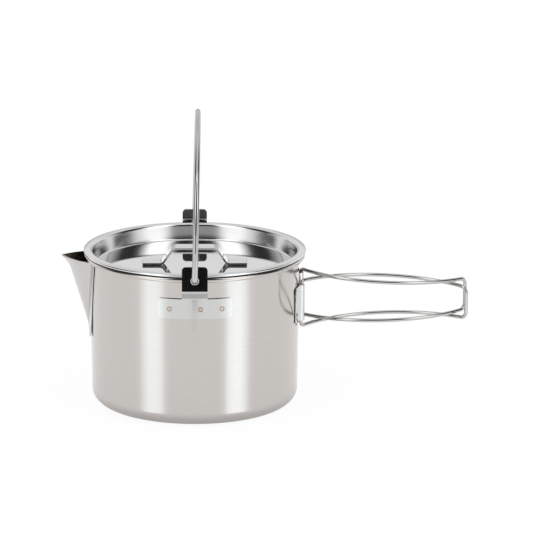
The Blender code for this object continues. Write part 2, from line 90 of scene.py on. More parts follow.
# Lid
LID_LOW, LID_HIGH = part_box("lid")
LID_SHEET = 0.0007
LID_FIT = 0.0004
LID_FLANGE_THICKNESS = 0.0019
LID_PLUG_TAPER = 0.0013
LID_TOP_BEND = 0.0022
LID_PANEL_BEND = 0.0020
LID_PANEL_FILLET = 0.0010
LID_WALL_LEAN = math.radians(10.0)
LID_WALL_FOOT_LEAN = math.radians(15.0)
LID_WALL_STEPS = 10
LID_CROWN = 0.0003
LID_CROWN_SLOPE = math.radians(12.0)
LID_CROWN_STEPS = 12
PANEL_TOP = LID_LOW.z + LID_SHEET
PANEL_FLAT_SHARE = 0.9
FACES_DOWN = -0.5

# The lid's strip handle
STRIP_LOW, STRIP_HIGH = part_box("lid_handle")
STRIP_THICKNESS = 0.0013
STRIP_FOOT = 0.0125
STRIP_BAR = 0.0270
STRIP_FOOT_BEND = 0.0035
STRIP_BAR_BEND = 0.0050
STRIP_BEND_STEPS = 16
STRIP_DEBURR = 0.00025

# Spout
SPOUT_SHEET = 0.0008
SPOUT_REACH = 0.0180
SPOUT_MOUTH_WIDTH = 0.0320
SPOUT_DEPTH = 0.0435
SPOUT_BELOW_RIM = 0.0005
SPOUT_MOUTH = RIM_FOOT - SPOUT_BELOW_RIM
SPOUT_CLOSING = SPOUT_MOUTH - SPOUT_DEPTH
SPOUT_BEAK_HEIGHT = 0.0085
SPOUT_BEAK_REACH = 0.0040
SPOUT_TIP_RISE = 0.0012
SPOUT_FOLD = 0.0024
SPOUT_FLANGE_TOP = 0.0052
SPOUT_FLANGE_FOOT = 0.0118
SPOUT_TAIL = 0.0050
SPOUT_TAIL_SHARES = (1.0, 0.66, 0.33)
SPOUT_HEEL_WIDTH = 0.0030
SPOUT_FULLNESS = 0.7
SPOUT_ROWS = 40
SPOUT_FLANGE_STEPS = 8
SPOUT_FOLD_STEPS = 8
SPOUT_SIDE_STEPS = 20

# A face of the spout is an inside one, and gets painted shade, where it looks towards an upright
# line inside the pot, at this distance from the axis
SPOUT_INSIDE = 0.0600
LOOKS_BACK = -0.2

# Ears
EAR_LOW, EAR_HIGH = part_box("bail_ear_front")
EAR_SHEET = 0.0010
EAR_FLANGE_HEIGHT = 0.0123
EAR_FLANGE_CORNER = 0.0018
EAR_FLANGE_ROWS = (0.3, 0.5, 0.7)
EAR_TAB_WIDTH = 0.0156
EAR_TAB_CORNER = 0.0024
EAR_TAB_STEPS = 16
EAR_WING_STEPS = 12
EAR_STAND_OFF = 0.0080
EAR_NECK = 0.0010
EAR_TAB_BELOW_RIM = 0.0079
EAR_HOLE = 0.0051
EAR_BEND = 0.0016
REAR_TAB_RISE = 0.0008
TAB_OUTER = POT_RADIUS + EAR_STAND_OFF + EAR_SHEET
FRONT = Vector((0, -1, 0))
SHEET_DEBURR = 0.0002

# Rolled edge round the hole in each ear
EYELET_ROUND = 0.00036
EYELET_PROUD = 0.00018
EYELET_INSET = 0.8
EYELET_STEPS = 64

# Spot welds: their size, their profile as shares of the radius and heights, and where their
# middles are on an ear's flange
WELD_RADIUS = 0.0017
WELD_PROFILE = ((0.0, 0.00002), (0.35, 0.000015), (0.62, 0.00003), (0.76, 0.00009),
                (0.88, 0.000054), (1.0, -0.00002))
WELD_STEPS = 32
WELD_BELOW_MIDDLE = 0.0002
EAR_WELDS = (-0.0154, 0.0035, 0.0166)

# Bail
JOINTS = {joint["name"]: joint for joint in frame["joints"]}
PIVOT_HEIGHT = JOINTS["bail_swing"]["pos_m"][2]
BAIL_WIRE = 0.0034
BAIL_HEIGHT = 0.0888
BAIL_TIP = 0.0024
BAIL_BEND = 0.0024
BAIL_LEAN = math.radians(1.3)
BAIL_STEPS = 96

# Wires: how much of the radius an end rounds off, and where its rings lie on that round
WIRE_END_ROUND = 0.35
WIRE_END_RINGS = (0.0, 0.35, 0.75)

# Wire handle
HINGE = Vector((*JOINTS["front_loop_fold"]["pos_m"][:2], 0.0))
HINGE_RADIUS = HINGE.length
HINGE_ANGLE = math.asin(-HINGE.y / HINGE_RADIUS)
LOOP_WIRE = 0.0023
LOOP_REACH = 0.1029
LOOP_RADIUS = 0.0690
LOOP_END_DROP = 0.0053
LOOP_END_RISE = 0.0040
LOOP_HINGE_LENGTH = 0.0290
LOOP_HINGE_FOOT = 0.0494
LOOP_OPEN_SLANT = math.radians(2.0)
LOOP_HINGE_BEND = 0.0030
LOOP_END_BEND = 0.0042
LOOP_WIRE_MEETING = 0.0030
LOOP_STAGGER = 0.0033
LOOP_STEPS = 56
# The bends take up this many points at each end of a loop's arc, so those go
LOOP_BEND_POINTS = 3

# The wire handle's bracket
BRACKET_SHEET = 0.0008
BRACKET_WIRE_PLAY = 0.0004
BRACKET_HEIGHT = 0.0228
BRACKET_ABOVE_BEND = 0.0009
BRACKET_FLANGE = 0.0090
BRACKET_FLANGE_STEPS = 4
BRACKET_WEB_STEPS = 6
BRACKET_CORNER = 0.0022
BRACKET_DEBURR = 0.00018

# Colours of the steels
WARM_STEEL = (0.560, 0.533, 0.513)
SPOUT_STEEL = (0.585, 0.575, 0.56)
# Painted shade: near-black for the spout's inside faces, where shade falls
SPOUT_INSIDE_PAINTED_SHADE = (0.075, 0.063, 0.052)
NEUTRAL_STEEL = (0.66, 0.655, 0.645)
EAR_STEEL = (0.56, 0.555, 0.55)
EAR_DULL_STEEL = (0.612, 0.61, 0.60)
LID_STEEL = (0.72, 0.72, 0.725)
LID_WALL_STEEL = (0.70, 0.70, 0.705)
# Painted shade: near-black for the faces under the lid's flange, which darkens its seam on the rim
LID_UNDERSIDE_PAINTED_SHADE = (0.10, 0.10, 0.10)
WIRE_STEEL = (0.50, 0.495, 0.485)

# Grain of the steels: the noise's detail and roughness, and the levels between which it varies
GRAIN_DETAIL = 4.0
GRAIN_ROUGHNESS = 0.65
GRAIN_LOW = 0.3
GRAIN_HIGH = 0.7
ACROSS_THE_GRAIN = 0.25

# The least radius that round grain divides by, since there is none on the axis
GRAIN_LEAST_RADIUS = 1e-5

# A weld's heat tint, from its middle outwards, and how uneven its rings are
WELD_TINTS = ((0.0, (0.62, 0.60, 0.56)), (0.45, (0.60, 0.54, 0.48)), (0.72, (0.30, 0.20, 0.15)),
              (1.0, (0.58, 0.55, 0.50)))
WELD_WOBBLE = 0.3
WELD_WOBBLE_SCALE = 900
WELD_WOBBLE_DETAIL = 2.0
WELD_METALLIC = 0.9
WELD_ROUGHNESS = 0.35

# Camera, fitted to the photograph
PHOTO_SIDE = 533
CAMERA_DISTANCE = 2.130
CAMERA_HEIGHT = 0.6281
CAMERA_PITCH = math.radians(14.30)
CAMERA_FAR = 50.0
FOCAL_PIXELS = 3533.5
POT_AXIS_PIXEL = 194.75
SENSOR = 36.0

# Studio: the room's level, and the share of it that the floor has to the camera and in reflections
WHITE = (1.0, 1.0, 1.0, 1.0)
ROOM_WHITE = 1.0
FLOOR_HALF_SIDE = 12.0
FLOOR_DROP = 0.0002
FLOOR_COLOUR = (0.9, 0.9, 0.9, 1.0)
FLOOR_ROUGHNESS = 0.9
FLOOR_SPECULAR = 0.1
FLOOR_SEEN = 0.93
FLOOR_MIRRORED = 0.75

# Shade that the pot lays on the floor close round it, in reflections alone: the level by the
# distance from its axis, as a share of the reach
FLOOR_SHADE_REACH = 0.1
FLOOR_SHADE = ((0.55, 0.55), (0.645, 0.70), (0.71, 0.88), (0.86, 1.0))

# What reflections see of the room, by azimuth in degrees from -Y towards either side: a front
# that is grey low down and dark higher up, a softbox beside it, a dark gap, then the pale room
# behind. The rows say at which heights each table holds, and the levels blend between them
TENT_RADIUS = 1.6
TENT_STEP = 2
TENT_LOW = ((0, 0.35), (20, 0.35), (26, 0.50), (32, 1.1), (40, 1.4), (56, 1.4), (64, 1.08),
            (72, 0.86), (81, 0.40), (90, 0.10), (101, 0.55), (113, 0.86), (129, 1.2), (145, 0.8),
            (163, 0.6), (180, 0.6))
TENT_MIDDLE = ((0, 0.05), (25, 0.05), (33, 0.7), (40, 1.4), (52, 1.4), (58, 0.6), (68, 0.12),
               (82, 0.04), (96, 0.12), (108, 0.6), (118, 0.85), (140, 0.95), (180, 0.865))
TENT_HIGH = ((0, 0.03), (25, 0.03), (31, 0.9), (37, 1.9), (60, 1.9), (67, 1.0), (76, 0.12),
             (85, 0.03), (104, 0.05), (116, 0.4), (126, 0.7), (140, 0.9), (180, 0.75))
TENT_ROWS = ((0.0, TENT_LOW), (0.40, TENT_LOW), (0.49, TENT_MIDDLE), (0.64, TENT_MIDDLE),
             (0.80, TENT_HIGH), (3.0, TENT_HIGH))

# Bright pools of light painted on the floor where the softboxes would lay them, glowing sheets that
# only
# reflections see: how much they add, by the angle from -Y of the wall that mirrors them
POOL_LEVELS = ((13, 0.0), (16, 0.10), (19, 0.54), (22, 0.66), (26, 0.66), (29, 0.42), (32, 0.08),
               (35, 0.0))
POOL_LEFT_SHARE = 0.96
POOL_RIGHT_SHARE = 1.12
POOL_COLOUR = (0.82, 0.95, 1.0, 1.0)
POOL_LIFT = 0.0006
POOL_HEIGHTS = (0.003, 0.02, 0.04, 0.06, 0.08, 0.10, 0.14)

# Dark strips of floor, one before and one behind the kettle, that the ears' tabs mirror: a painted
# dark reflection, since only reflections see them
GAP_HALF_WIDTH = 0.016
GAP_NEAR = 0.372
GAP_FAR = 0.70
GAP_LIFT = 0.0012
GAP_LEVEL = 0.01

# Softboxes that light the floor and the kettle, one on each side
LAMP_AZIMUTH = 44
LAMP_DISTANCE = 1.5
LAMP_HEIGHT = 1.1
LAMP_SIZE = 0.9
LAMP_POWER = 6.0
LAMP_AIM = Vector((0, 0, 0.05))


def polar(radius, angle, height=0.0):
    return Vector((radius * math.cos(angle), radius * math.sin(angle), height))


def arc(centre, radius, start, end, steps):
    """Points of an arc in the plane, from one angle to the other, in degrees."""
    points = []
    for step in range(steps + 1):
        angle = math.radians(start + (end - start) * step / steps)
        points.append((centre[0] + radius * math.cos(angle), centre[1] + radius * math.sin(angle)))
    return points


def line(start, end, steps):
    """Points from start up to, and without, the end."""
    return [(start[0] + (end[0] - start[0]) * step / steps,
             start[1] + (end[1] - start[1]) * step / steps) for step in range(steps)]


def rounded(points, radii, steps=BEND_STEPS):
    """The path with each inner corner replaced by an arc of its radius; 0 keeps the corner."""
    path = [points[0]]
    for before, corner, after, radius in zip(points, points[1:], points[2:], radii):
        if radius == 0:
            path.append(corner)
            continue
        back = (before - corner).normalized()
        ahead = (after - corner).normalized()
        half = back.angle(ahead) / 2
        centre = corner + (back + ahead).normalized() * (radius / math.sin(half))
        start = corner + back * (radius / math.tan(half)) - centre
        axis = back.cross(ahead)
        for step in range(steps + 1):
            turn = Matrix.Rotation((2 * half - math.pi) * step / steps, 3, axis)
            path.append(centre + turn @ start)
    path.append(points[-1])
    return path


def held_straight(path, hold=0.0003):
    """The path with a point close to each end of its long straight stretches, so that the shading
    of a bend ends where the bend does."""
    held = [path[0]]
    for before, after in zip(path, path[1:]):
        length = (after - before).length
        if length > 5 * hold:
            held += [before.lerp(after, hold / length), after.lerp(before, hold / length)]
        held.append(after)
    return held


def bar_outline(path, thickness):
    """The two sides of a bent sheet seen edge on: the path moved half a thickness each way."""
    left = []
    right = []
    for index, point in enumerate(path):
        before = path[max(index - 1, 0)]
        after = path[min(index + 1, len(path) - 1)]
        ahead = (after - point).normalized() if after != point else (point - before).normalized()
        behind = (point - before).normalized() if point != before else ahead
        along = (ahead + behind).normalized()
        across = Vector((-along.y, along.x)) * (thickness / 2 / along.dot(ahead))
        left.append(point + across)
        right.append(point - across)
    return left, right


def corner_rise(corner, steps):
    """Heights above a plate's straight edge that follow its rounded corner."""
    return [corner * (1 - math.cos(math.pi / 2 * step / steps)) for step in range(steps + 1)]


def plate_half_width(half_width, corner, to_edge):
    """Half the width of a plate with rounded corners, at a distance from its straight edge."""
    into_corner = max(corner - to_edge, 0.0)
    return half_width - corner + math.sqrt(max(corner ** 2 - into_corner ** 2, 0.0))


def between(stops, position):
    """The level at a position on a table of stops, straight between them."""
    for (start, low), (end, high) in zip(stops, stops[1:]):
        if position <= end:
            return low + (high - low) * (position - start) / (end - start)
    return stops[-1][1]


def mesh_object(name, bm, material):
    """A smooth-shaded object from a bmesh."""
    bmesh.ops.recalc_face_normals(bm, faces=bm.faces)
    mesh = bpy.data.meshes.new(name)
    bm.to_mesh(mesh)
    bm.free()
    mesh.materials.append(material)
    mesh.shade_smooth()
    mesh.set_sharp_from_angle(angle=SHARP_ANGLE)
    obj = bpy.data.objects.new(name, mesh)
    bpy.context.scene.collection.objects.link(obj)
    return obj


def dress(obj, body, slot, *nodes):
    """Rides a finished piece on its body and hides the solids it stands for; the finish's name is
    not used.
    """
    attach(obj, body)
    if nodes:
        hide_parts(*nodes)


def turned(profile, steps=ROUND_STEPS):
    """A bmesh turned round the Z axis from (radius, height) points."""
    bm = bmesh.new()
    rings = []
    for radius, height in profile:
        if radius < ON_AXIS:
            rings.append([bm.verts.new((0, 0, height))])
        else:
            rings.append([bm.verts.new(polar(radius, math.tau * step / steps, height))
                          for step in range(steps)])
    for low, high in zip(rings, rings[1:]):
        for step in range(steps):
            after = (step + 1) % steps
            corners = [low[step % len(low)], low[after % len(low)], high[after % len(high)],
                       high[step % len(high)]]
            bm.faces.new(list(dict.fromkeys(corners)))
    return bm


def add_sheet(bm, columns):
    """One open surface from a grid: a list of columns of points, all of one length."""
    grid = [[bm.verts.new(point) for point in column] for column in columns]
    for left, right in zip(grid, grid[1:]):
        for row in range(len(left) - 1):
            bm.faces.new((left[row], right[row], right[row + 1], left[row + 1]))


def close_body(bm, rings):
    """Faces from ring to ring, and a flat one at each end."""
    for one, two in zip(rings, rings[1:]):
        for index in range(len(one)):
            after = (index + 1) % len(one)
            bm.faces.new((one[index], one[after], two[after], two[index]))
    bm.faces.new(rings[0])
    bm.faces.new(rings[-1])


def closed_bar(rings):
    """A closed body through rings of points."""
    bm = bmesh.new()
    close_body(bm, [[bm.verts.new(point) for point in ring] for ring in rings])
    return bm


def tube(name, points, radius, material):
    """A round wire along the points, with rounded-off ends."""
    bm = bmesh.new()
    count = len(points)
    tangents = []
    for index in range(count):
        before = points[max(index - 1, 0)]
        after = points[min(index + 1, count - 1)]
        tangents.append((after - before).normalized())
    side = tangents[0].orthogonal().normalized()
    sides = []
    for index in range(count):
        if index:
            turn = tangents[index - 1].rotation_difference(tangents[index])
            side = turn @ side
            side = (side - tangents[index] * side.dot(tangents[index])).normalized()
        sides.append(side.copy())

    def ring_at(centre, index, size):
        other = tangents[index].cross(sides[index])
        return [bm.verts.new(centre + (sides[index] * math.cos(math.tau * turn / WIRE_SIDES)
                                       + other * math.sin(math.tau * turn / WIRE_SIDES)) * size)
                for turn in range(WIRE_SIDES)]

    def end_ring(index, inward, share):
        """A ring on the round of one end, from its flat face at share 0 to the full wire at 1."""
        end_round = radius * WIRE_END_ROUND
        angle = share * math.pi / 2
        centre = points[index] + tangents[index] * end_round * (inward * (1 - math.cos(angle)))
        return ring_at(centre, index, radius - end_round * (1 - math.sin(angle)))

    rings = [end_ring(0, 1, share) for share in WIRE_END_RINGS]
    rings += [ring_at(points[index], index, radius) for index in range(1, count - 1)]
    rings += [end_ring(-1, -1, share) for share in reversed(WIRE_END_RINGS)]
    close_body(bm, rings)
    return mesh_object(name, bm, material)


def bake(obj):
    """Turns a piece's modifiers into its mesh."""
    graph = bpy.context.evaluated_depsgraph_get()
    mesh = bpy.data.meshes.new_from_object(obj.evaluated_get(graph))
    obj.modifiers.clear()
    obj.data = mesh


def thicken(obj, thickness):
    """Gives an open surface its sheet's thickness, half to each side."""
    solidify = obj.modifiers.new("Sheet thickness", "SOLIDIFY")
    solidify.thickness = thickness
    solidify.offset = 0.0
    solidify.use_even_offset = True


def deburr(obj, width, angle, segments=2):
    """Rounds the edges sharper than an angle in degrees, as a deburred sheet has them."""
    bevel = obj.modifiers.new("Deburred edges", "BEVEL")
    bevel.width = width
    bevel.segments = segments
    bevel.limit_method = "ANGLE"
    bevel.angle_limit = math.radians(angle)
    bevel.harden_normals = True
    bake(obj)


def bore(obj, starts, direction, diameter, sides=HOLE_SIDES):
    """Cuts a round hole from each start, along one direction."""
    bm = bmesh.new()
    turn = direction.to_track_quat("Z", "Y").to_matrix().to_4x4()
    for start in starts:
        ring = bmesh.ops.create_cone(bm, cap_ends=True, segments=sides, radius1=diameter / 2,
                                     radius2=diameter / 2, depth=direction.length)["verts"]
        bmesh.ops.transform(bm, matrix=turn, verts=ring)
        bmesh.ops.translate(bm, verts=ring, vec=start + direction / 2)
    mesh = bpy.data.meshes.new(obj.name + "_cutter")
    bm.to_mesh(mesh)
    bm.free()
    cutter = bpy.data.objects.new(obj.name + "_cutter", mesh)
    bpy.context.scene.collection.objects.link(cutter)
    boolean = obj.modifiers.new("Holes", "BOOLEAN")
    boolean.operation = "DIFFERENCE"
    boolean.object = cutter
    bake(obj)
    bpy.data.objects.remove(cutter, do_unlink=True)


def make_nodes(name):
    """A new material, its node tree and its shader."""
    material = bpy.data.materials.new(name)
    material.use_nodes = True
    tree = material.node_tree
    return material, tree, tree.nodes["Principled BSDF"]


def math_node(tree, operation, first, second=None, third=None):
    """The outcome of a sum on numbers or sockets."""
    node = tree.nodes.new("ShaderNodeMath")
    node.operation = operation
    for socket, value in zip(node.inputs, (first, second, third)):
        if value is None:
            continue
        if isinstance(value, (int, float)):
            socket.default_value = value
        else:
            tree.links.new(value, socket)
    return node.outputs[0]


def ramp_node(tree, factor, stops):
    """The colour that a factor picks from a table of positions and colours."""
    node = tree.nodes.new("ShaderNodeValToRGB")
    elements = node.color_ramp.elements
    while len(elements) < len(stops):
        elements.new(0.5)
    for element, (position, colour) in zip(elements, stops):
        element.position = position
        element.color = (*colour, 1.0)
    tree.links.new(factor, node.inputs["Fac"])
    return node.outputs["Color"]


def noise_node(tree, vector, detail, roughness=0.5):
    """Noise whose scale is that of its coordinates."""
    node = tree.nodes.new("ShaderNodeTexNoise")
    node.inputs["Scale"].default_value = 1.0
    node.inputs["Detail"].default_value = detail
    node.inputs["Roughness"].default_value = roughness
    tree.links.new(vector, node.inputs["Vector"])
    return node.outputs["Fac"]


def object_place(tree):
    return tree.nodes.new("ShaderNodeTexCoord").outputs["Object"]


def distance_node(tree):
    """The distance from the piece's own origin."""
    node = tree.nodes.new("ShaderNodeVectorMath")
    node.operation = "LENGTH"
    tree.links.new(object_place(tree), node.inputs[0])
    return node.outputs["Value"]


def round_grain(tree, scales):
    """Coordinates in which noise runs out into lines round the Z axis, as a turning tool leaves,
    with a scale along the lines and one across them."""
    along, across = scales
    split = tree.nodes.new("ShaderNodeSeparateXYZ")
    tree.links.new(object_place(tree), split.inputs[0])
    x, y, z = split.outputs
    squares = math_node(tree, "ADD", math_node(tree, "MULTIPLY", x, x),
                        math_node(tree, "MULTIPLY", y, y))
    radius = math_node(tree, "MAXIMUM", math_node(tree, "SQRT", squares), GRAIN_LEAST_RADIUS)
    join = tree.nodes.new("ShaderNodeCombineXYZ")
    for part, socket in zip((x, y), join.inputs):
        direction = math_node(tree, "DIVIDE", part, radius)
        tree.links.new(math_node(tree, "MULTIPLY", direction, along), socket)
    tree.links.new(math_node(tree, "MULTIPLY", math_node(tree, "ADD", z, radius), across),
                   join.inputs[2])
    return join.outputs[0]


def straight_grain(tree, scales):
    """Coordinates stretched by their own scale along each axis."""
    node = tree.nodes.new("ShaderNodeMapping")
    node.inputs["Scale"].default_value = scales
    tree.links.new(object_place(tree), node.inputs["Vector"])
    return node.outputs[0]


def steel(name, colour, roughness, grain_of, scales, depth, tint=0.03, spread=0.04, stretch=0.0):
    """Bare steel with fine grain: the grain varies its tone, its roughness and its relief."""
    material, tree, shader = make_nodes(name)
    shader.inputs["Metallic"].default_value = 1.0
    if stretch:
        shader.inputs["Anisotropic"].default_value = stretch
        shader.inputs["Anisotropic Rotation"].default_value = ACROSS_THE_GRAIN
        tangent = tree.nodes.new("ShaderNodeTangent")
        tangent.direction_type = "RADIAL"
        tangent.axis = "Z"
        tree.links.new(tangent.outputs[0], shader.inputs["Tangent"])
    grain = noise_node(tree, grain_of(tree, scales), GRAIN_DETAIL, GRAIN_ROUGHNESS)
    darker = tuple(part * (1 - tint) for part in colour)
    lighter = tuple(min(part * (1 + tint), 1.0) for part in colour)
    tree.links.new(ramp_node(tree, grain, [(GRAIN_LOW, darker), (GRAIN_HIGH, lighter)]),
                   shader.inputs["Base Color"])
    tree.links.new(math_node(tree, "MULTIPLY_ADD", grain, spread * 2, roughness - spread),
                   shader.inputs["Roughness"])
    bump = tree.nodes.new("ShaderNodeBump")
    bump.inputs["Strength"].default_value = 1.0
    bump.inputs["Distance"].default_value = depth
    tree.links.new(grain, bump.inputs["Height"])
    tree.links.new(bump.outputs[0], shader.inputs["Normal"])
    return material


def weld_steel():
    """A spot weld's mark: bare in the middle, with a straw and brown ring of heat tint."""
    material, tree, shader = make_nodes("weld_mark")
    shader.inputs["Metallic"].default_value = WELD_METALLIC
    shader.inputs["Roughness"].default_value = WELD_ROUGHNESS
    share = math_node(tree, "DIVIDE", distance_node(tree), WELD_RADIUS)
    place = straight_grain(tree, (WELD_WOBBLE_SCALE,) * 3)
    noise = noise_node(tree, place, WELD_WOBBLE_DETAIL)
    wobble = math_node(tree, "MULTIPLY_ADD", noise, WELD_WOBBLE, -WELD_WOBBLE / 2)
    tree.links.new(ramp_node(tree, math_node(tree, "ADD", share, wobble), WELD_TINTS),
                   shader.inputs["Base Color"])
    return material


def make_pot(material):
    """The shell with its rolled rim: the bead curls back towards the wall."""
    foot_radius = POT_RADIUS - BASE_DRAFT
    bead = RIM_HEIGHT / 2
    corner = (foot_radius - BASE_CORNER, BASE_CORNER)
    inner = POT_RADIUS - POT_WALL
    profile = line((0.0, 0.0), (corner[0], 0.0), 6)
    profile += arc(corner, BASE_CORNER, -90, 0, 24)
    profile += line((foot_radius, DRAFT_START), (POT_RADIUS, DRAFT_HEIGHT), 8)
    profile += line((POT_RADIUS, DRAFT_HEIGHT), (POT_RADIUS, RIM_FOOT + RIM_CREVICE), 12)
    profile += [(POT_RADIUS, RIM_FOOT + RIM_CREVICE)]
    profile += arc((RIM_RADIUS - bead, RIM_FOOT + bead), bead, RIM_CURL_START, 90, 28)
    profile += arc((inner + RIM_LIP_ROUND, POT_HEIGHT - RIM_LIP_ROUND), RIM_LIP_ROUND, 90, 180, 6)
    profile += line((inner, POT_HEIGHT - INSIDE_BELOW_RIM), (inner, DRAFT_HEIGHT), 12)
    profile += line((inner, DRAFT_HEIGHT), (foot_radius - POT_WALL, BASE_CORNER), 8)
    profile += arc(corner, BASE_CORNER - POT_WALL, 0, -90, 20)
    profile += [(0.0, POT_WALL)]
    pot = mesh_object("kettle_pot", turned(profile), material)
    starts = []
    for row in range(STRAINER_ROWS):
        count = STRAINER_ROWS - row
        height = POT_HEIGHT - STRAINER_BELOW_RIM - row * STRAINER_PITCH
        for hole in range(count):
            side = (hole - (count - 1) / 2) * STRAINER_PITCH
            starts.append(Vector((-RIM_RADIUS, side, height)))
    bore(pot, starts, Vector((RIM_RADIUS, 0, 0)), STRAINER_HOLE, STRAINER_SIDES)
    dress(pot, "pot", "pot_steel", "pot_body")


def make_lid(material, wall_material, underside_shade):
    """One turned profile: under the panel, up the plug, round the flange, down the wall."""
    flange_foot = POT_HEIGHT + SEAT_GAP
    plug_top = POT_RADIUS - POT_WALL - LID_FIT
    plug_foot = plug_top - LID_PLUG_TAPER
    edge = (LID_FLANGE_THICKNESS - LID_CROWN) / (1 + math.cos(LID_CROWN_SLOPE))
    crest = plug_top - LID_SHEET + LID_TOP_BEND
    bend_centre = (plug_foot - LID_PANEL_BEND, LID_LOW.z + LID_PANEL_BEND)
    profile = line((0.0, LID_LOW.z), (bend_centre[0], LID_LOW.z), 4)
    profile += arc(bend_centre, LID_PANEL_BEND, -90, 0, 12)
    profile += [(plug_top, flange_foot)]
    profile += arc((LID_HIGH.x - edge, flange_foot + edge), edge,
                   -90, 90 - math.degrees(LID_CROWN_SLOPE), 20)
    brow = profile[-1][0]
    for step in range(1, LID_CROWN_STEPS):
        share = 1 - step / LID_CROWN_STEPS
        profile.append((crest + (brow - crest) * share, LID_HIGH.z - LID_CROWN * share ** 2))
    profile += arc((crest, LID_HIGH.z - LID_TOP_BEND), LID_TOP_BEND,
                   90, 180 - math.degrees(LID_WALL_LEAN), 20)
    wall_x, wall_z = wall_top = profile[-1]
    wall_foot = PANEL_TOP + LID_PANEL_FILLET * (1 - math.sin(LID_WALL_FOOT_LEAN))
    drop = (wall_top[1] - wall_foot) / LID_WALL_STEPS
    for step in range(LID_WALL_STEPS):
        share = (step + 0.5) / LID_WALL_STEPS
        wall_x -= drop * math.tan(LID_WALL_LEAN + (LID_WALL_FOOT_LEAN - LID_WALL_LEAN) * share ** 2)
        wall_z -= drop
        profile.append((wall_x, wall_z))
    fillet_centre = (wall_x - LID_PANEL_FILLET * math.cos(LID_WALL_FOOT_LEAN),
                     PANEL_TOP + LID_PANEL_FILLET)
    profile += arc(fillet_centre, LID_PANEL_FILLET, -math.degrees(LID_WALL_FOOT_LEAN), -90, 16)[1:]
    profile += line((fillet_centre[0] * PANEL_FLAT_SHARE, PANEL_TOP), (0.0, PANEL_TOP), 6)
    profile += [(0.0, PANEL_TOP)]
    lid = mesh_object("kettle_lid", turned(profile), material)
    lid.data.materials.append(wall_material)
    lid.data.materials.append(underside_shade)
    # The leaning wall takes its own steel; faces looking down outside the plug take painted shade,
    # near-black
    for face in lid.data.polygons:
        out = face.center.to_2d().length
        if wall_foot < face.center.z < wall_top[1] and wall_x < out < wall_top[0]:
            face.material_index = 1
        elif face.normal.z < FACES_DOWN and out > plug_top:
            face.material_index = 2
    dress(lid, "lid", "lid_steel", "lid")


def make_strip(material):
    """The lid's handle: two feet on the panel, two sloping risers and the bar."""
    foot = STRIP_LOW.z + STRIP_THICKNESS / 2
    bar = STRIP_HIGH.z - STRIP_THICKNESS / 2
    end = STRIP_HIGH.x
    riser = end - STRIP_FOOT
    half = STRIP_HIGH.y
    corners = [Vector((-end, foot, 0)), Vector((-riser, foot, 0)), Vector((-STRIP_BAR / 2, bar, 0)),
               Vector((STRIP_BAR / 2, bar, 0)), Vector((riser, foot, 0)), Vector((end, foot, 0))]
    bends = [STRIP_FOOT_BEND, STRIP_BAR_BEND, STRIP_BAR_BEND, STRIP_FOOT_BEND]
    path = held_straight(rounded(corners, bends, STRIP_BEND_STEPS))
    upper, lower = bar_outline([point.to_2d() for point in path], STRIP_THICKNESS)
    rings = []
    for high, low in zip(upper, lower):
        rings.append([Vector((high.x, -half, high.y)), Vector((high.x, half, high.y)),
                      Vector((low.x, half, low.y)), Vector((low.x, -half, low.y))])
    strip = mesh_object("lid_strip", closed_bar(rings), material)
    deburr(strip, STRIP_DEBURR, 40, segments=3)
    dress(strip, "lid", "lid_handle_steel", "lid_handle")


def spout_section(height, half_edge):
    """Plan points of the spout sheet's middle at one height, from flange edge to nose."""
    middle = SEAT_RADIUS + SPOUT_SHEET / 2
    up = (height - SPOUT_CLOSING) / SPOUT_DEPTH

    def on_wall(side):
        return Vector((math.sqrt(middle ** 2 - side ** 2), side))

    if up <= 0:
        count = SPOUT_FLANGE_STEPS + SPOUT_FOLD_STEPS + SPOUT_SIDE_STEPS
        return [on_wall(half_edge * (1 - step / count)) for step in range(count + 1)]
    straight = POT_RADIUS + SPOUT_REACH - SPOUT_BEAK_REACH - SPOUT_SHEET / 2 - middle
    beak = max(0.0, 1 - (1 - up) * SPOUT_DEPTH / SPOUT_BEAK_HEIGHT)
    nose = middle + straight * up + SPOUT_BEAK_REACH * beak ** 2
    crease = (SPOUT_HEEL_WIDTH + (SPOUT_MOUTH_WIDTH - SPOUT_HEEL_WIDTH) * up) / 2
    fold = min(SPOUT_FOLD, (nose - on_wall(crease).x) / 2)
    corner = on_wall(crease)
    foot = on_wall(crease + fold)
    flank = corner + Vector((fold, -fold * (1 - SPOUT_FULLNESS)))
    points = []
    for step in range(SPOUT_FLANGE_STEPS):
        points.append(on_wall(half_edge + (foot.y - half_edge) * step / SPOUT_FLANGE_STEPS))
    for step in range(SPOUT_FOLD_STEPS):
        share = step / SPOUT_FOLD_STEPS
        points.append(foot.lerp(corner, share).lerp(corner.lerp(flank, share), share))
    for step in range(SPOUT_SIDE_STEPS + 1):
        share = 1 - step / SPOUT_SIDE_STEPS
        bulge = share * (1 + SPOUT_FULLNESS) - SPOUT_FULLNESS * share ** 2
        points.append(Vector((nose + (flank.x - nose) * share, flank.y * bulge)))
    return points


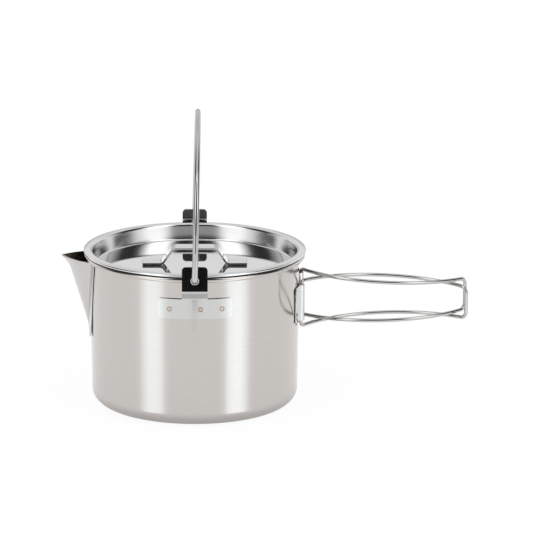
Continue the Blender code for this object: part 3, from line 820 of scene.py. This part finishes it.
def make_spout(material, inside_shade):
    """One folded sheet, in rows from the foot of its tail up to the mouth."""
    heights = [SPOUT_CLOSING - SPOUT_TAIL * share for share in SPOUT_TAIL_SHARES]
    heights += [SPOUT_CLOSING + SPOUT_DEPTH * step / SPOUT_ROWS for step in range(SPOUT_ROWS + 1)]
    edge_top = SPOUT_MOUTH_WIDTH / 2 + SPOUT_FLANGE_TOP
    rows = []
    for height in heights:
        up = (height - SPOUT_CLOSING) / SPOUT_DEPTH
        half_edge = SPOUT_FLANGE_FOOT + (edge_top - SPOUT_FLANGE_FOOT) * up
        beak = max(0.0, 1 - (SPOUT_MOUTH - height) / SPOUT_BEAK_HEIGHT)
        near = []
        for index, point in enumerate(spout_section(height, half_edge)):
            past_fold = index - SPOUT_FLANGE_STEPS - SPOUT_FOLD_STEPS
            to_nose = max(0.0, past_fold / SPOUT_SIDE_STEPS)
            lift = SPOUT_TIP_RISE * beak * to_nose ** 2
            near.append(Vector((-point.x, -point.y, height + lift)))
        far = [Vector((point.x, -point.y, point.z)) for point in reversed(near[:-1])]
        rows.append(near + far)
    bm = bmesh.new()
    add_sheet(bm, list(zip(*rows)))
    spout = mesh_object("kettle_spout", bm, material)
    spout.data.materials.append(inside_shade)
    thicken(spout, SPOUT_SHEET)
    deburr(spout, SHEET_DEBURR, 60)
    # Painted shade: the faces that look back into the spout take the near-black material
    for face in spout.data.polygons:
        away = face.center - Vector((-SPOUT_INSIDE, 0, face.center.z))
        if face.normal.dot(away.normalized()) < LOOKS_BACK:
            face.material_index = 1
    dress(spout, "pot", "spout_steel", "spout")


def ear_bmesh(tab_top):
    """An ear at the front: a flange on the wall, a neck that slopes out and an upright tab."""
    middle = SEAT_RADIUS + EAR_SHEET / 2
    tab_face = POT_RADIUS + EAR_STAND_OFF + EAR_SHEET / 2
    flange_foot = EAR_LOW.z
    flange_top = flange_foot + EAR_FLANGE_HEIGHT
    half_flange = EAR_HIGH.x
    tab_foot = POT_HEIGHT - EAR_TAB_BELOW_RIM
    half_tab = EAR_TAB_WIDTH / 2
    flange_rise = corner_rise(EAR_FLANGE_CORNER, 8)
    flange_rows = [flange_foot + rise for rise in flange_rise]
    flange_rows += [flange_foot + EAR_FLANGE_HEIGHT * share for share in EAR_FLANGE_ROWS]
    flange_rows += [flange_top - rise for rise in reversed(flange_rise)]
    tab_rise = corner_rise(EAR_TAB_CORNER, 12)[::-1]

    def wall_out(side):
        return math.sqrt(middle ** 2 - side ** 2)

    columns = []
    for step in range(EAR_TAB_STEPS + 1):
        share = 2 * step / EAR_TAB_STEPS - 1
        side = half_tab * share
        column = [Vector((side, -wall_out(side), height)) for height in flange_rows]
        corners = [column[-1], Vector((side, -wall_out(side), flange_top + EAR_NECK)),
                   Vector((side, -tab_face, tab_foot)),
                   Vector((side, -tab_face, tab_top - tab_rise[0]))]
        column += held_straight(rounded(corners, [EAR_BEND, EAR_BEND]))[1:]
        for rise in tab_rise[1:]:
            half = plate_half_width(half_tab, EAR_TAB_CORNER, rise)
            column.append(Vector((half * share, -tab_face, tab_top - rise)))
        columns.append(column)
    bm = bmesh.new()
    add_sheet(bm, columns)
    for mirror in (-1, 1):
        wing = []
        for step in range(EAR_WING_STEPS + 1):
            column = []
            for height in flange_rows:
                to_edge = min(height - flange_foot, flange_top - height)
                half = plate_half_width(half_flange, EAR_FLANGE_CORNER, to_edge)
                side = half_tab + (half - half_tab) * step / EAR_WING_STEPS
                column.append(Vector((mirror * side, -wall_out(side), height)))
            wing.append(column)
        add_sheet(bm, wing)
    bmesh.ops.remove_doubles(bm, verts=bm.verts, dist=SHEET_MERGE)
    return bm


def add_disc(name, bm, where, outward, material):
    """Lays a small turned piece on an ear, its own Z axis pointing out of the sheet."""
    disc = mesh_object(name, bm, material)
    disc.location = where
    disc.rotation_mode = "QUATERNION"
    disc.rotation_quaternion = outward.to_track_quat("Z", "Y")
    dress(disc, "pot", "ear_steel")


def eyelet_bmesh():
    """The rolled edge of an ear's hole, a trace proud of the tab."""
    centre = (EAR_HOLE / 2 - EYELET_ROUND * EYELET_INSET, EYELET_PROUD - EYELET_ROUND)
    bm = turned(arc(centre, EYELET_ROUND, 0, 360, 16), EYELET_STEPS)
    bmesh.ops.remove_doubles(bm, verts=bm.verts, dist=RING_MERGE)
    return bm


def weld_bmesh():
    """A shallow dished mark with a low ridge round it."""
    return turned([(WELD_RADIUS * share, height) for share, height in WELD_PROFILE], WELD_STEPS)


def make_ears(polished, dull, weld):
    """Both ears, the rear one turned round, each with its eyelet and its welds."""
    weld_height = EAR_LOW.z + EAR_FLANGE_HEIGHT / 2 - WELD_BELOW_MIDDLE
    weld_out = SEAT_RADIUS + EAR_SHEET
    past_tab = Vector((0, TAB_OUTER + EAR_SHEET, 0))
    pivot = Vector((0, 0, PIVOT_HEIGHT))
    for name, turn, rise in (("front", 0.0, 0.0), ("rear", math.pi, REAR_TAB_RISE)):
        ear = mesh_object("ear_" + name, ear_bmesh(EAR_HIGH.z + rise), polished)
        thicken(ear, EAR_SHEET)
        bore(ear, [pivot - past_tab], past_tab, EAR_HOLE)
        deburr(ear, SHEET_DEBURR, 50)
        ear.data.materials.append(dull)
        for face in ear.data.polygons:
            if face.center.z < EAR_LOW.z + EAR_FLANGE_HEIGHT:
                face.material_index = 1
        ear.rotation_euler.z = turn
        dress(ear, "pot", "ear_steel", "bail_ear_" + name)
        spin = Matrix.Rotation(turn, 3, "Z")
        facing = spin @ FRONT
        add_disc("eyelet_" + name, eyelet_bmesh(), facing * TAB_OUTER + pivot, facing, dull)
        for index, side in enumerate(EAR_WELDS):
            angle = math.asin(side / weld_out)
            where = spin @ Vector((side, -weld_out * math.cos(angle), weld_height))
            outward = Matrix.Rotation(turn + angle, 3, "Z") @ FRONT
            add_disc(f"weld_{name}_{index}", weld_bmesh(), where, outward, weld)


def make_bail(material):
    """One wire: a half circle on straight legs, hooked through the ears, leaning a little."""
    leg = TAB_OUTER + SEAT_GAP + BAIL_WIRE / 2
    tip = TAB_OUTER - EAR_SHEET - BAIL_TIP
    shoulder = PIVOT_HEIGHT + BAIL_HEIGHT - BAIL_WIRE / 2 - leg
    arch = []
    for step in range(BAIL_STEPS + 1):
        turn = math.pi * step / BAIL_STEPS
        arch.append(Vector((0, -leg * math.cos(turn), shoulder + leg * math.sin(turn))))
    near_hook = [Vector((0, -tip, PIVOT_HEIGHT)), Vector((0, -leg, PIVOT_HEIGHT)), arch[0]]
    far_hook = [arch[-1], Vector((0, leg, PIVOT_HEIGHT)), Vector((0, tip, PIVOT_HEIGHT))]
    points = rounded(near_hook, [BAIL_BEND])[:-1] + arch + rounded(far_hook, [BAIL_BEND])[1:]
    pivot = Vector((0, 0, PIVOT_HEIGHT))
    lean = Matrix.Rotation(BAIL_LEAN, 3, "Y")
    points = [pivot + lean @ (point - pivot) for point in points]
    bail = tube("bail_wire", points, BAIL_WIRE / 2, material)
    dress(bail, "bail", "bail_steel", "bail")


def loop_points():
    """The front loop, from one end of its wire inside the bracket round to the other."""
    chord = polar(LOOP_REACH, LOOP_OPEN_SLANT)
    square = polar(1.0, LOOP_OPEN_SLANT + math.pi / 2)
    depth = math.sqrt(LOOP_RADIUS ** 2 - (LOOP_REACH / 2) ** 2)
    centre = HINGE + chord / 2 - square * depth
    first = math.atan2(HINGE.y - centre.y, HINGE.x - centre.x)
    sweep = 2 * math.asin(LOOP_REACH / 2 / LOOP_RADIUS)
    hinge_top = LOOP_HINGE_FOOT + LOOP_HINGE_LENGTH
    upper = []
    lower = []
    for step in range(LOOP_STEPS + 1):
        share = step / LOOP_STEPS
        plan = centre + polar(LOOP_RADIUS, first - sweep * share)
        upper.append(Vector((plan.x, plan.y, hinge_top - LOOP_END_DROP * share)))
        lower.append(Vector((plan.x, plan.y, LOOP_HINGE_FOOT + LOOP_END_RISE * share)))
    kept = slice(LOOP_BEND_POINTS, -LOOP_BEND_POINTS)
    upper = [upper[0]] + upper[kept] + [upper[-1]]
    lower = [lower[0]] + lower[kept] + [lower[-1]]
    middle = LOOP_HINGE_FOOT + LOOP_HINGE_LENGTH / 2
    start = Vector((HINGE.x, HINGE.y, middle + LOOP_WIRE_MEETING / 2))
    end = Vector((HINGE.x, HINGE.y, middle - LOOP_WIRE_MEETING / 2))
    straight = [0] * (len(upper) - 2)
    radii = [LOOP_HINGE_BEND, *straight, LOOP_END_BEND, LOOP_END_BEND, *straight, LOOP_HINGE_BEND]
    return rounded([start] + upper + lower[::-1] + [end], radii)


def make_loops(material):
    """The rear loop is the front one mirrored, a wire higher, so that they cross."""
    front = loop_points()
    rear = [Vector((point.x, -point.y, point.z + LOOP_STAGGER)) for point in front]
    for name, points in (("front", front), ("rear", rear)):
        loop = tube("loop_" + name, points, LOOP_WIRE / 2, material)
        dress(loop, name + "_loop", "loop_steel", "handle_loop_" + name)


def make_bracket(material):
    """One sheet on the wall: a web, a channel pressed over each hinge wire, and two flanges."""
    web_radius = SEAT_RADIUS + BRACKET_SHEET / 2
    channel = LOOP_WIRE / 2 + BRACKET_WIRE_PLAY + BRACKET_SHEET / 2
    fillet = HINGE_RADIUS - web_radius
    half_pressing = (channel + fillet) / web_radius
    web_end = HINGE_ANGLE - half_pressing
    flange_start = HINGE_ANGLE + half_pressing
    hinge = polar(HINGE_RADIUS, HINGE_ANGLE)
    outward = hinge.normalized()
    sideways = Vector((-outward.y, outward.x, 0.0))
    outline = arc((-channel - fillet, 0.0), fillet, -90, 0, 8)
    outline += arc((0.0, 0.0), channel, 180, 0, 28)[1:]
    outline += arc((channel + fillet, 0.0), fillet, 180, 270, 8)[1:]
    corner_rises = corner_rise(BRACKET_CORNER, 10)
    to_edges = [BRACKET_FLANGE * (1 - step / BRACKET_FLANGE_STEPS)
                for step in range(1, BRACKET_FLANGE_STEPS)]
    to_edges += [BRACKET_CORNER - rise for rise in corner_rises]
    rear = [polar(web_radius, web_end * step / BRACKET_WEB_STEPS)
            for step in range(BRACKET_WEB_STEPS)]
    rear += [hinge + sideways * along + outward * out for along, out in outline]
    insets = [0.0] * (len(rear) + BRACKET_FLANGE_STEPS - 1)
    insets += [BRACKET_CORNER - math.sqrt(max(BRACKET_CORNER ** 2 - rise ** 2, 0.0))
               for rise in corner_rises]
    rear += [polar(web_radius, flange_start + (BRACKET_FLANGE - to_edge) / web_radius)
             for to_edge in to_edges]
    front = [Vector((point.x, -point.y, 0.0)) for point in reversed(rear[1:])]
    path = [point.to_2d() for point in front + rear]
    foot = LOOP_HINGE_FOOT + LOOP_HINGE_BEND + BRACKET_ABOVE_BEND
    outer, inner = bar_outline(path, BRACKET_SHEET)
    web_half = web_radius * math.sin(web_end)
    rings = []
    for point, inset, one, other in zip(path, insets[:0:-1] + insets, outer, inner):
        share = min(max(point.y / web_half, -1.0), 1.0)
        low = foot + LOOP_STAGGER * (1 + share) / 2 + inset
        high = low + BRACKET_HEIGHT - 2 * inset
        rings.append([Vector((one.x, one.y, low)), Vector((other.x, other.y, low)),
                      Vector((other.x, other.y, high)), Vector((one.x, one.y, high))])
    bracket = mesh_object("loop_bracket", closed_bar(rings), material)
    deburr(bracket, BRACKET_DEBURR, 50)
    dress(bracket, "pot", "bracket_steel", "handle_bracket")


def build_kettle():
    """Each steel has its colour, roughness, grain with its scales, and the grain's depth."""
    brushed = steel("pot_brushed", WARM_STEEL, 0.12, round_grain, (5.0, 900.0), 1e-6,
                    tint=0.02, spread=0.015, stretch=0.6)
    spout_skin = steel("spout_brushed", SPOUT_STEEL, 0.14, straight_grain, (700, 700, 60), 2e-6)
    # Painted shade inside the spout
    spout_inside_painted_shade = steel("spout_inside_painted_shade", SPOUT_INSIDE_PAINTED_SHADE, 0.34, straight_grain, (500, 500, 120), 6e-6,
                         tint=0.3)
    polished = steel("polished_sheet", NEUTRAL_STEEL, 0.05, straight_grain, (120, 120, 900), 1e-6,
                     spread=0.01)
    ear_skin = steel("ear_polish", EAR_STEEL, 0.04, straight_grain, (900, 120, 120), 1e-6,
                     spread=0.01)
    ear_dull = steel("ear_dull", EAR_DULL_STEEL, 0.17, straight_grain, (900, 120, 120), 1e-6,
                     spread=0.02)
    mirror = steel("lid_mirror", LID_STEEL, 0.035, round_grain, (8.0, 1500.0), 0.6e-6,
                   tint=0.015, spread=0.01)
    lid_wall = steel("lid_wall", LID_WALL_STEEL, 0.14, round_grain, (3.0, 2600.0), 0.6e-6,
                     tint=0.02, spread=0.008)
    # Painted shade under the lid's flange
    underside_shade = steel("lid_underside_painted_shade", LID_UNDERSIDE_PAINTED_SHADE, 0.40, round_grain, (8.0, 900.0), 2e-6, tint=0.1)
    wire = steel("bright_wire", WIRE_STEEL, 0.08, straight_grain, (300, 300, 300), 1e-6,
                 spread=0.02)
    weld = weld_steel()
    make_pot(brushed)
    make_lid(mirror, lid_wall, underside_shade)
    make_strip(polished)
    make_spout(spout_skin, spout_inside_painted_shade)
    make_ears(ear_skin, ear_dull, weld)
    make_bail(wire)
    make_loops(wire)
    make_bracket(polished)


def background():
    world = bpy.data.worlds.new("studio_world")
    bpy.context.scene.world = world
    world.use_nodes = True
    shade = world.node_tree.nodes["Background"]
    shade.inputs["Color"].default_value = WHITE
    shade.inputs["Strength"].default_value = ROOM_WHITE


def floor():
    """Pale floor, near white to the camera and to reflections, with a trace of the shadow."""
    bm = bmesh.new()
    bmesh.ops.create_grid(bm, x_segments=1, y_segments=1, size=FLOOR_HALF_SIDE)
    material, tree, shader = make_nodes("floor_paper")
    shader.inputs["Base Color"].default_value = FLOOR_COLOUR
    shader.inputs["Roughness"].default_value = FLOOR_ROUGHNESS
    shader.inputs["Specular IOR Level"].default_value = FLOOR_SPECULAR
    glow = tree.nodes.new("ShaderNodeEmission")
    glow.inputs["Strength"].default_value = ROOM_WHITE
    path = tree.nodes.new("ShaderNodeLightPath")
    share = math_node(tree, "MULTIPLY", path.outputs["Is Camera Ray"], FLOOR_SEEN)
    for ray in ("Is Glossy Ray", "Is Transmission Ray"):
        share = math_node(tree, "MULTIPLY_ADD", path.outputs[ray], FLOOR_MIRRORED, share)
    away = math_node(tree, "DIVIDE", distance_node(tree), FLOOR_SHADE_REACH)
    near = ramp_node(tree, away, [(position, (level,) * 3) for position, level in FLOOR_SHADE])
    dim = tree.nodes.new("ShaderNodeMix")
    dim.data_type = "RGBA"
    dim.inputs["A"].default_value = WHITE
    tree.links.new(path.outputs["Is Glossy Ray"], dim.inputs["Factor"])
    tree.links.new(near, dim.inputs["B"])
    tree.links.new(dim.outputs["Result"], glow.inputs["Color"])
    mix = tree.nodes.new("ShaderNodeMixShader")
    tree.links.new(share, mix.inputs["Fac"])
    tree.links.new(shader.outputs[0], mix.inputs[1])
    tree.links.new(glow.outputs[0], mix.inputs[2])
    tree.links.new(mix.outputs[0], tree.nodes["Material Output"].inputs["Surface"])
    ground = mesh_object("floor", bm, material)
    ground.location.z = -FLOOR_DROP


def glowing(name, columns, levels, added=False, colour=WHITE):
    """A sheet of the studio that only reflections see, with a level for each of its points."""
    bm = bmesh.new()
    add_sheet(bm, columns)
    material, tree, _ = make_nodes(name)
    glow = tree.nodes.new("ShaderNodeEmission")
    glow.inputs["Color"].default_value = colour
    shade = tree.nodes.new("ShaderNodeAttribute")
    shade.attribute_name = "level"
    tree.links.new(shade.outputs["Fac"], glow.inputs["Strength"])
    shader = glow
    if added:
        shader = tree.nodes.new("ShaderNodeAddShader")
        clear = tree.nodes.new("ShaderNodeBsdfTransparent")
        tree.links.new(clear.outputs[0], shader.inputs[0])
        tree.links.new(glow.outputs[0], shader.inputs[1])
    tree.links.new(shader.outputs[0], tree.nodes["Material Output"].inputs["Surface"])
    panel = mesh_object(name, bm, material)
    values = panel.data.attributes.new("level", "FLOAT", "POINT")
    values.data.foreach_set("value", [level for column in levels for level in column])
    panel.visible_camera = False
    panel.visible_diffuse = False
    panel.visible_shadow = False
    panel.visible_transmission = False


def tent():
    columns = []
    levels = []
    for azimuth in range(-180, 181, TENT_STEP):
        turn = math.radians(azimuth - 90)
        columns.append([polar(TENT_RADIUS, turn, height) for height, _ in TENT_ROWS])
        levels.append([between(stops, abs(azimuth)) for _, stops in TENT_ROWS])
    glowing("light_tent", columns, levels)


def pools():
    """Each column of points lies on the floor along what one upright line of the wall mirrors."""
    low, high = POOL_LEVELS[0][0], POOL_LEVELS[-1][0]
    slope = math.tan(CAMERA_PITCH)
    for name, side, share in (("left", -1, POOL_LEFT_SHARE), ("right", 1, POOL_RIGHT_SHARE)):
        columns = []
        levels = []
        for angle in range(low, high + 1):
            turn = math.radians(angle) * side
            start = Vector((POT_RADIUS * math.sin(turn), -POT_RADIUS * math.cos(turn), POOL_LIFT))
            heading = Vector((math.sin(2 * turn), -math.cos(2 * turn), 0.0))
            columns.append([start + heading * (height / slope) for height in POOL_HEIGHTS])
            level = between(POOL_LEVELS, angle) * share
            levels.append([level] * (len(POOL_HEIGHTS) - 1) + [0.0])
        glowing("floor_pool_" + name, columns, levels, added=True, colour=POOL_COLOUR)


def floor_gaps():
    for name, side in (("front", -1), ("rear", 1)):
        columns = [[Vector((across, side * out, GAP_LIFT)) for out in (GAP_NEAR, GAP_FAR)]
                   for across in (-GAP_HALF_WIDTH, GAP_HALF_WIDTH)]
        glowing("floor_gap_" + name, columns, [[GAP_LEVEL] * 2] * 2)


def lamps():
    for name, azimuth in (("left", -LAMP_AZIMUTH), ("right", LAMP_AZIMUTH)):
        data = bpy.data.lights.new("softbox_" + name, "AREA")
        data.size = LAMP_SIZE
        data.energy = LAMP_POWER
        lamp = bpy.data.objects.new("softbox_" + name, data)
        turn = math.radians(azimuth)
        lamp.location = (math.sin(turn) * LAMP_DISTANCE, -math.cos(turn) * LAMP_DISTANCE,
                         LAMP_HEIGHT)
        lamp.rotation_euler = (LAMP_AIM - lamp.location).to_track_quat("-Z", "Y").to_euler()
        lamp.visible_camera = False
        lamp.visible_glossy = False
        bpy.context.scene.collection.objects.link(lamp)


def build_studio():
    background()
    floor()
    tent()
    pools()
    floor_gaps()
    lamps()


def add_camera():
    data = bpy.data.cameras.new("camera")
    data.sensor_width = SENSOR
    data.lens = FOCAL_PIXELS / PHOTO_SIDE * SENSOR
    data.shift_x = (PHOTO_SIDE / 2 - POT_AXIS_PIXEL) / PHOTO_SIDE
    data.clip_end = CAMERA_FAR
    camera = bpy.data.objects.new("camera", data)
    camera.location = (0, -CAMERA_DISTANCE, CAMERA_HEIGHT)
    camera.rotation_euler = (math.pi / 2 - CAMERA_PITCH, 0, 0)
    bpy.context.scene.collection.objects.link(camera)
    bpy.context.scene.camera = camera


build_kettle()
build_studio()
add_camera()
bpy.context.scene.view_settings.view_transform = "Standard"
